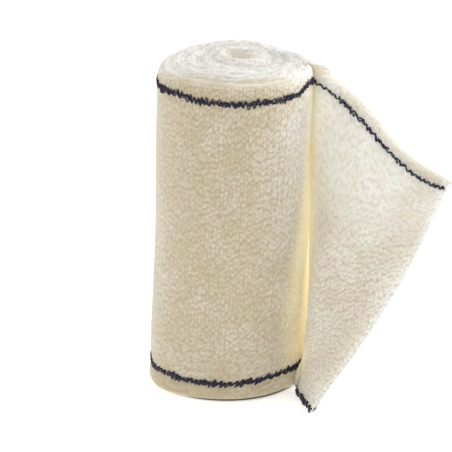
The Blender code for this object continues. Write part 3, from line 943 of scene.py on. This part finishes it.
class BANDAGE_OT_loose_end(bpy.types.Operator):
    """Drape the free length of cloth, with its lap on the roll"""
    bl_idname = "bandage.loose_end"
    bl_label = "Loose end"

    def execute(self, context):
        cloth = context.scene.bandage.cloth
        grid, normal, along, across = strip_sheet(*LOOSE_STEPS)
        rows, columns = grid.shape[:2]
        pebble, tone = pebbles(along, across, cloth.pebble_along, cloth.pebble_across)
        to_edge = np.minimum(across, CLOTH_WIDTH - across)
        gap = np.linalg.norm(np.diff(grid, axis=1), axis=-1)
        to_cut = np.concatenate([np.cumsum(gap[:, ::-1], axis=1)[:, ::-1], np.zeros((rows, 1))], 1)
        # The cloth thins out to its selvedges and to the cut.
        half = cloth.thickness / 2 * (0.35 + 0.65 * np.sqrt(np.clip(to_edge / 0.0006, 0.0, 1.0)))
        half = half * (0.50 + 0.50 * np.sqrt(np.clip(to_cut / 0.0009, 0.0, 1.0)))
        relief = cloth.pebble_height * (pebble - PEBBLE_LEVEL)
        sunk = 0.0006 * rising(along, LAP - LAP_RUN, LAP)
        inner = grid + normal * (half + 1.05 * relief * (along < 0.0002))[..., None]
        outer = grid - normal * (half + relief - sunk)[..., None]
        count = rows * columns
        rim = np.concatenate([np.arange(columns), np.arange(1, rows) * columns + columns - 1,
                              (rows - 1) * columns + np.arange(columns - 2, -1, -1),
                              np.arange(rows - 2, 0, -1) * columns])
        after = np.roll(rim, -1)
        faces = [grid_faces(rows, columns), grid_faces(rows, columns, count, flip=True),
                 np.stack([after, rim, rim + count, after + count], -1)]
        loose = crepe_material("crepe_loose", cloth, 0.65, 0.0018, 0.75,
                               (cloth.loose_lit_colour, cloth.loose_lit_fluff_colour))
        body = shown_mesh(
            "loose_end_cloth", np.concatenate([inner.reshape(-1, 3), outer.reshape(-1, 3)]),
            np.concatenate(faces), loose,
            loose_masks(grid[..., 2], along, across, to_edge, to_cut, pebble, tone))
        side = body.data.attributes.new("inner_face", "FLOAT", "POINT")
        side.data.foreach_set("value", np.repeat([1.0, 0.0], count).astype(np.float32))
        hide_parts("loose_end")
        return {"FINISHED"}


def turn_ridges(ends, inset, angle, wobble=0.0):
    """Height from 0 to 1 of the spiral of the turns' edges."""
    return 0.5 + 0.5 * np.cos(2 * math.pi * (inset / ends.turn_pitch + angle / 360 + wobble))


def run_around(angle, inset):
    """Distance around an end face, drawn together towards the core."""
    return np.radians(angle) * (ROLL_RADIUS - 0.6 * inset)


def top_faces(ends, cotton):
    """The turns' selvedges on the top, broken up into tufts, with the hollow in the core."""
    rows, columns = TOP_STEPS
    turned, travelled = np.meshgrid(np.linspace(0.0, 360.0, columns),
                                    np.linspace(0.0, END_REACH, rows))
    place, inset = end_surface(turned, travelled)

    def tufts(angle):
        return pebbles(run_around(angle, inset), inset + 0.2, 0.0016, 0.0013)

    def woolly(angle):
        run = run_around(angle, inset)
        wobble = 0.20 * soft_noise(run / 0.006, inset / 0.004, 31)
        tufted = 0.62 + 0.25 * soft_noise(run / 0.008, inset / 0.005, 37)
        height = (turn_ridges(ends, inset, angle, wobble) * (1 - tufted)
                  + tufts(angle)[0] * tufted)
        return height * (0.85 + 0.30 * soft_noise(run / 0.0045, inset / 0.0035, 41))

    relief = around_once(turned, woolly)
    tone = around_once(turned, lambda angle: tufts(angle)[1])
    in_hollow = rising(inset, 0.0190, 0.0212)
    place[..., 2] += (ends.turn_height * (relief - PEBBLE_LEVEL) * (1 - 0.35 * in_hollow)
                      * (0.3 + 0.7 * rising(inset, 0.0026, 0.0038)))
    # The outermost ring is tucked in behind the wound cloth's rim.
    place[0] = wall_surface(turned[0], np.full(columns, 0.0996), 0.0004)[0]
    points = np.concatenate([place.reshape(-1, 3), place[-1].mean(axis=0)[None]])
    last = (rows - 1) * columns
    fan = [[last + i, last + i + 1, rows * columns] for i in range(columns - 1)]
    seam = [[r * columns + columns - 1, r * columns, (r + 1) * columns,
             (r + 1) * columns + columns - 1] for r in range(rows - 1)]

    # White fluff, darker in the hollow and in one groove as painted shade, and plain cloth at the
    # rim's front.
    fluff = ((0.95 + 0.50 * (relief - 0.5)) * (1 - 0.40 * in_hollow)
             - 0.34 * swell(inset, 0.0135, 0.0022))
    ragged = 0.0014 * around_once(turned, lambda angle: soft_noise(
        run_around(angle, inset) / 0.0022, inset / 0.0012, 47))
    at_front = in_front(RIM_ANGLE + turned)
    plain = -0.08 + 0.16 * at_front
    fluff = plain + (fluff - plain) * ease(
        (inset + ragged - 0.0022 + 0.0050 * (1 - at_front)) / 0.0066)
    masks = np.stack([0.50 + 0.50 * relief, fluff, tone, 0.10 * in_hollow], -1).reshape(-1, 4)
    masks = np.concatenate([masks, [[0.5, 0.3, 0.5, 0.0]]])
    return shown_mesh("top_selvedges", points, grid_faces(rows, columns).tolist() + fan + seam,
                      cotton, masks)


def foot_faces(ends, cotton):
    """The turns' selvedges on the foot, pressed flat by the floor."""
    columns = TOP_STEPS[1]
    shares = np.linspace(1.0, 0.0, FOOT_RINGS)
    shares[-1] = 0.004         # a pinhole, so that no faces collapse in the middle
    turned, radius_share = np.meshgrid(np.linspace(0.0, 360.0, columns), shares)
    edge = wall_surface(turned[0], np.zeros(columns))[0]
    inset = (1 - radius_share) * (ROLL_RADIUS - WALL_PROFILE[0].inset)
    place = edge[None] * radius_share[..., None]

    def woolly(angle):
        tufts = pebbles(run_around(angle, inset), inset + 0.4, 0.0013, 0.0016)[0]
        return 0.55 * turn_ridges(ends, inset, angle) + 0.45 * tufts

    relief = np.clip(around_once(turned, woolly), 0.0, 1.0)
    place[..., 2] = ends.turn_height * (1 - relief) * ease(inset / 0.0015)
    masks = np.stack([relief, 0.25 + 0.3 * relief, relief, 0 * relief], -1).reshape(-1, 4)
    return shown_mesh("foot_selvedges", place.reshape(-1, 3),
                      grid_faces(FOOT_RINGS, columns, flip=True), cotton, masks)


class BANDAGE_OT_end_faces(bpy.types.Operator):
    """Lay the turns' fluffy selvedges on the top and the foot"""
    bl_idname = "bandage.end_faces"
    bl_label = "End faces"

    def execute(self, context):
        cloth, ends = context.scene.bandage.cloth, context.scene.bandage.ends
        cotton = crepe_material("crepe_selvedges", cloth, 0.30, 0.0014)
        for body in (top_faces(ends, cotton), foot_faces(ends, cotton)):
            weld(body)
            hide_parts("bandage_roll")
        return {"FINISHED"}


def zigzag(distance, pitch, seed, ragged=1.0):
    """Side offset from -1 to 1 and stand from -1.5 to 1 of one yarn along the strip."""
    leg = 2 * (distance / pitch + 0.55 * soft_noise(distance / (pitch * 1.9), 0.0, seed))
    number = np.floor(leg)
    part = leg - number
    start, end = ((1 - 2 * (n % 2)) * (0.35 + 0.80 * chance(n, 1, seed))
                  for n in (number, number + 1))
    side = start + (end - start) * ease(part)
    drift = 0.22 * soft_noise(distance / 0.0040, 0.0, seed + 9)
    stand = 0.85 - 1.4 * (2 * part - 1) ** 2 + 2.5 * ragged * (chance(number, 2, seed) - 0.5)
    return side + drift, np.clip(stand, -1.5, 1.0)


def stripe_rise(label, facing):
    """How far a stripe strays up or down on its way around the roll."""
    if label == "foot":
        return (0.0009 * rising(facing, -95.0, -45.0) * rising(facing, -180.0, -120.0)
                - 0.0007 * swell(facing, -168.0, 18.0))
    return (0.0017 * swell(facing, -18.0, 14.0) - 0.0014 * rising(facing, -1.0, 8.0)
            + 0.0008 * falling(facing, -137.0, -115.0) * rising(facing, -166.0, -150.0))


def wound_yarn(cloth, stripe, line, strand):
    """Path of one stripe yarn around the roll."""
    distance = np.arange(LAP - LAP_RUN / 2, 2 * math.pi * ROLL_RADIUS - 0.0004, YARN_STEP)
    side, stand = zigzag(distance, stripe.zigzag_pitch * strand.pitch, strand.seed + line.seed)
    turned = degrees_at(distance)
    facing = turned - 360.0 + leave_angle(line.centre)
    place, outward = cloth_wall(
        cloth, turned, line.centre + stripe_rise(line.label, facing)
        + side * stripe.zigzag_width / 2 * strand.width)
    sunk = 0.00011 * rising(np.abs(facing + 95.0), 60.0, 80.0) - mouth_fill(turned)
    return place + outward * (strand.lift - sunk + 0.00026 * stand)[:, None]


def loose_yarn(cloth, stripe, line, strand, face, sheet):
    """Path of one stripe yarn on the loose end, on its inner face (1) or outer face (-1)."""
    grid, normal, along, across = sheet
    row_of, row_numbers = across[:, 0], np.arange(len(across))
    column = np.arange(grid.shape[1] - 1.4, 0.0, -0.32)
    run = sample_grid(along[..., None], column,
                      np.interp(line.centre, row_of, row_numbers) + 0 * column)[..., 0]
    # The pattern is shifted, so that neither face repeats the other or the roll.
    side, stand = zigzag(run + 0.6 + face, stripe.zigzag_pitch * strand.pitch,
                         strand.seed + line.seed + 2 * face, 1.5)
    inside = face > 0
    keep = run < (line.inner_from * run[0] if inside else LAP - LAP_RUN * 0.6)
    width = stripe.zigzag_width / 2 * strand.width * (line.inner_width if inside else OUTER_WIDTH)
    column = column[keep]
    row = np.interp(line.centre + side[keep] * width, row_of, row_numbers)
    away = unit(sample_grid(normal, column, row)) * face
    rise = cloth.thickness / 2 + 0.00004 + 0.00022 * stand[keep]
    return sample_grid(grid, column, row) + away * rise[:, None]


def yarn_tube(path, radius, seed):
    """Tube of an uneven yarn with thin ends."""
    step = np.arange(path.shape[0])
    taper = radius * (1.0 + 0.30 * soft_noise(step / 7.0, 0.0, seed))
    taper[[0, -1]] = radius * 0.3
    return tubes(path[None], taper[None], 6)


class BANDAGE_OT_stripes(bpy.types.Operator):
    """Weave the dark yarns in beside both selvedges"""
    bl_idname = "bandage.stripes"
    bl_label = "Stripe yarns"

    def execute(self, context):
        cloth, stripe = context.scene.bandage.cloth, context.scene.bandage.stripe
        yarn = plain_cotton("stripe_yarn_blue", stripe.yarn_colour, 0.9)
        sheet = strip_sheet(*LOOSE_STEPS)
        for line in STRIPES:
            yarns = []
            for strand in STRANDS:
                seed = strand.seed + line.seed
                yarns.append(yarn_tube(wound_yarn(cloth, stripe, line, strand),
                                       stripe.yarn_radius, seed))
                if strand is STRANDS[-1]:
                    continue           # the last strand lies on the roll alone
                for face in (1, -1):
                    yarns.append(yarn_tube(loose_yarn(cloth, stripe, line, strand, face, sheet),
                                           stripe.yarn_radius * LOOSE_YARN, seed + face))
            all_faces, first = [], 0
            for points, faces in yarns:
                all_faces.extend([[i + first for i in f] for f in faces])
                first += len(points)
            shown_mesh(f"stripe_yarns_{line.label}", np.concatenate([y[0] for y in yarns]),
                       all_faces, yarn)
        return {"FINISHED"}


class BANDAGE_OT_loops(bpy.types.Operator):
    """Stand the selvedges' yarn loops up on the top"""
    bl_idname = "bandage.loops"
    bl_label = "Selvedge loops"

    def execute(self, context):
        ends, cloth = context.scene.bandage.ends, context.scene.bandage.cloth
        number = np.arange(ends.loops)[:, None]
        reach = END_REACH * 0.84
        share = np.sqrt((number + 0.5) / ends.loops)
        travelled = 0.0012 + (1 - share) * reach + 0.0040 * chance(number, 8, 8) ** 2
        turned = (number * GOLDEN_DEG + 14 * chance(number, 1, 3)) % 358.0 + 1.0
        leaving = number % RIM_LOOP_EVERY == 0
        turned = np.where(leaving, (40.0 * chance(number, 9, 13) - 22.0) % 360.0, turned)
        travelled = np.where(leaving, 0.0002 + 0.0070 * chance(number, 10, 14), travelled)
        steps = np.linspace(-1.0, 1.0, 6)[None, :]
        length = 0.00050 + 0.00080 * chance(number, 2, 5)
        aim = 2 * math.pi * chance(number, 3, 7)
        aim = np.where(chance(number, 4, 2) < 0.60, aim * 0.12 - 0.3, aim)
        bend = 1.6 * (chance(number, 5, 9) - 0.5) * length * steps**2
        side = steps * length
        around = np.degrees((side * np.cos(aim) + bend * np.sin(aim))
                            / np.maximum(ROLL_RADIUS - travelled, 0.003))
        inward = side * np.sin(aim) - bend * np.cos(aim)
        place, _ = end_surface(np.clip(turned + around, 0.0, 360.0),
                               np.clip(travelled + inward, 0.0, reach * 1.1))
        place[..., 2] += (0.00012 + 0.00034 * chance(number, 6, 4) ** 2) * (1 - 1.2 * steps**2)
        radii = ends.loop_radius * (0.7 + 0.6 * chance(number, 7, 6)) * (1 - 0.5 * steps**2)
        points, faces = tubes(place, radii, 4)
        white = plain_cotton("selvedge_cotton", tuple(cloth.fluff_colour), 0.95, 0.10)
        body = shown_mesh("selvedge_loops", points, faces, white)
        return {"FINISHED"}


def frayed_paths(fluff, cloth, grid, normal):
    """Paths and radii of the short threads along the cut end."""
    rows, columns = grid.shape[:2]
    number = np.arange(fluff.fray_threads)
    row = (number + 0.2 + 0.6 * chance(number, 1, 61)) / fluff.fray_threads * (rows - 1)
    edge, back = (sample_grid(grid, np.full(len(row), columns - before), row)[:, None]
                  for before in (1.0, 6.0))
    face = unit(sample_grid(normal, np.full(len(row), columns - 2.0), row))[:, None]
    out = unit(edge - back)
    number = number[:, None, None]
    length = 0.0002 + fluff.fray_length * chance(number, 2, 67) ** 2
    step = np.linspace(-0.5, 1.0, 5)[None, :, None]
    lean = (chance(number, 3, 71) - 0.5) * 1.3
    tip = (chance(number, 4, 73) - 0.5) * 0.9
    layer = (chance(number, 5, 79) - 0.5) * cloth.thickness * 0.6
    paths = edge + face * layer + length * (
        out * step + np.cross(out, face) * lean * step**2 + face * tip * step**2)
    radii = 0.00012 * (0.7 + 0.5 * chance(number, 6, 83)) * (1 - 0.3 * step)
    return paths, radii[..., 0]


def fibre_paths(fluff, cloth, grid, normal):
    """Paths and radii of the loose fibres, on the wound cloth first and then on the loose end."""
    rows, columns = grid.shape[:2]
    number = np.arange(fluff.fibres)
    wall = (number < fluff.fibres * WALL_FIBRES)[:, None]
    distance = chance(number, 11, 5) * 2 * math.pi * ROLL_RADIUS
    place, away = cloth_wall(cloth, degrees_at(distance), 0.001 + 0.0985 * chance(number, 12, 7))
    column, row = chance(number, 13, 9) * (columns - 1), chance(number, 14, 11) * (rows - 1)
    face = np.where(chance(number, 15, 13) < 0.5, 1.0, -1.0)[:, None]
    loose_away = unit(sample_grid(normal, column, row)) * face
    loose_place = sample_grid(grid, column, row) + loose_away * cloth.thickness / 2
    place = np.where(wall, place, loose_place)[:, None]
    away = np.where(wall, away, loose_away)[:, None]
    number = number[:, None, None]
    helper = np.concatenate([chance(number, draw, seed) for draw, seed in (
        (16, 15), (17, 17), (18, 19))], -1) - 0.5
    lying = unit(np.cross(away, helper))
    length = 0.0005 + 0.0011 * chance(number, 19, 21) ** 2
    step = np.linspace(0.0, 1.0, 4)[None, :, None]
    stand = 0.15 + 0.55 * chance(number, 20, 23) ** 2
    curl = (chance(number, 21, 25) - 0.5) * 1.6
    paths = place + length * (away * stand * step * (1.3 - 0.6 * step) + lying * step
                              + np.cross(away, lying) * curl * step**2)
    radii = fluff.fibre_radius * (1.1 - 0.6 * step[..., 0]) * np.ones((len(number), 1))
    return paths, radii


class BANDAGE_OT_fringe(bpy.types.Operator):
    """Fray the cut end and raise loose fibres over the cloth"""
    bl_idname = "bandage.fringe"
    bl_label = "Frayed threads and fibres"

    def execute(self, context):
        fluff, cloth = context.scene.bandage.fluff, context.scene.bandage.cloth
        cotton = plain_cotton("frayed_cotton", tuple(cloth.fluff_colour), 0.95, 0.08)
        grid, normal = strip_sheet(*LOOSE_STEPS)[:2]
        for name, paths_of, sides, lowest in (("frayed_threads", frayed_paths, 5, 0.00015),
                                              ("loose_fibres", fibre_paths, 3, 0.0001)):
            paths, radii = paths_of(fluff, cloth, grid, normal)
            paths[..., 2] = np.maximum(paths[..., 2], lowest)
            body = shown_mesh(name, *tubes(paths, radii, sides), cotton)
        return {"FINISHED"}


class BANDAGE_OT_studio(bpy.types.Operator):
    """Set the floor, the lamps and the camera"""
    bl_idname = "bandage.studio"
    bl_label = "Studio"

    def execute(self, context):
        scene = context.scene
        studio = scene.bandage.studio
        scene.view_settings.view_transform = "Standard"

        def add(name, data):
            made = bpy.data.objects.new(name, data)
            scene.collection.objects.link(made)
            return made

        material, tree, shader = new_material("pale_floor")
        feed(tree, shader, {
            "Base Color": opaque(studio.floor_colour), "Roughness": 0.9,
            "Specular IOR Level": 0.1, "Emission Color": WHITE, "Emission Strength": 0.40})
        mesh = bpy.data.meshes.new("studio_floor")
        mesh.from_pydata([(x * FLOOR_HALF, y * FLOOR_HALF, 0) for x, y in (
            (-1, -1), (1, -1), (1, 1), (-1, 1))], [], [(0, 1, 2, 3)])
        mesh.materials.append(material)
        floor = add("studio_floor", mesh)
        floor.location.z = -FLOOR_DROP

        # The surround is white to the camera, and dimmer as a light.
        world = bpy.data.worlds.new("white_surround")
        scene.world = world
        world.use_nodes = True
        tree = world.node_tree
        seen = add_node(tree, "LightPath")["Is Camera Ray"]
        strength = add_node(tree, "Mix", {0: seen, 2: studio.surround, 3: 1.0},
                            data_type="FLOAT")[0]
        feed(tree, tree.nodes["Background"], {"Color": WHITE, "Strength": strength})

        for lamp in LAMPS:
            data = bpy.data.lights.new(lamp.name, "AREA")
            data.shape = "RECTANGLE"
            data.size, data.size_y = lamp.size
            data.energy = lamp.share * getattr(studio, lamp.power)
            aim = unit(np.array(LAMPS_AIM) - np.array(lamp.place))
            made = add(lamp.name, data)
            made.location = lamp.place
            made.rotation_euler = (math.acos(-aim[2]), 0.0,
                                   math.atan2(aim[1], aim[0]) - math.pi / 2)

        data = bpy.data.cameras.new("photo_camera")
        data.lens = CAMERA_LENS
        data.sensor_width = CAMERA_SENSOR
        data.sensor_fit = "HORIZONTAL"
        data.clip_start, data.clip_end = 0.05, 50.0
        camera = add("photo_camera", data)
        camera.location = CAMERA_PLACE
        camera.rotation_euler = (math.radians(90.0 - CAMERA_PITCH_DEG), 0.0, 0.0)
        scene.camera = camera
        return {"FINISHED"}


class BANDAGE_PT_panel(bpy.types.Panel):
    """Bandage roll"""
    bl_idname = "BANDAGE_PT_panel"
    bl_label = "Crepe bandage roll"
    bl_space_type = "VIEW_3D"
    bl_region_type = "UI"
    bl_category = "Bandage"

    def draw(self, context):
        settings = context.scene.bandage
        for operator, group in (
                (BANDAGE_OT_wall, settings.cloth), (BANDAGE_OT_loose_end, None),
                (BANDAGE_OT_end_faces, settings.ends), (BANDAGE_OT_stripes, settings.stripe),
                (BANDAGE_OT_loops, None), (BANDAGE_OT_fringe, settings.fluff),
                (BANDAGE_OT_studio, settings.studio)):
            box = self.layout.box()
            box.operator(operator.bl_idname)
            if group is not None:
                for key in group.bl_rna.properties.keys():
                    if key not in {"rna_type", "name"}:
                        box.prop(group, key)


CLASSES = (BandageCloth, BandageStripe, BandageEnds, BandageFluff, BandageStudio,
           BandageSettings, BANDAGE_OT_wall, BANDAGE_OT_loose_end, BANDAGE_OT_end_faces,
           BANDAGE_OT_stripes, BANDAGE_OT_loops, BANDAGE_OT_fringe, BANDAGE_OT_studio,
           BANDAGE_PT_panel)


def register():
    """Register the classes and the scene's settings."""
    for cls in CLASSES:
        bpy.utils.register_class(cls)
    bpy.types.Scene.bandage = PointerProperty(type=BandageSettings)


def unregister():
    """Remove the settings and the classes."""
    del bpy.types.Scene.bandage
    for cls in reversed(CLASSES):
        bpy.utils.unregister_class(cls)


def main():
    """Build every piece in order."""
    register()
    bpy.ops.bandage.studio()
    bpy.ops.bandage.wall()
    bpy.ops.bandage.loose_end()
    bpy.ops.bandage.end_faces()
    bpy.ops.bandage.stripes()
    bpy.ops.bandage.loops()
    bpy.ops.bandage.fringe()


if __name__ == "__main__":
    main()
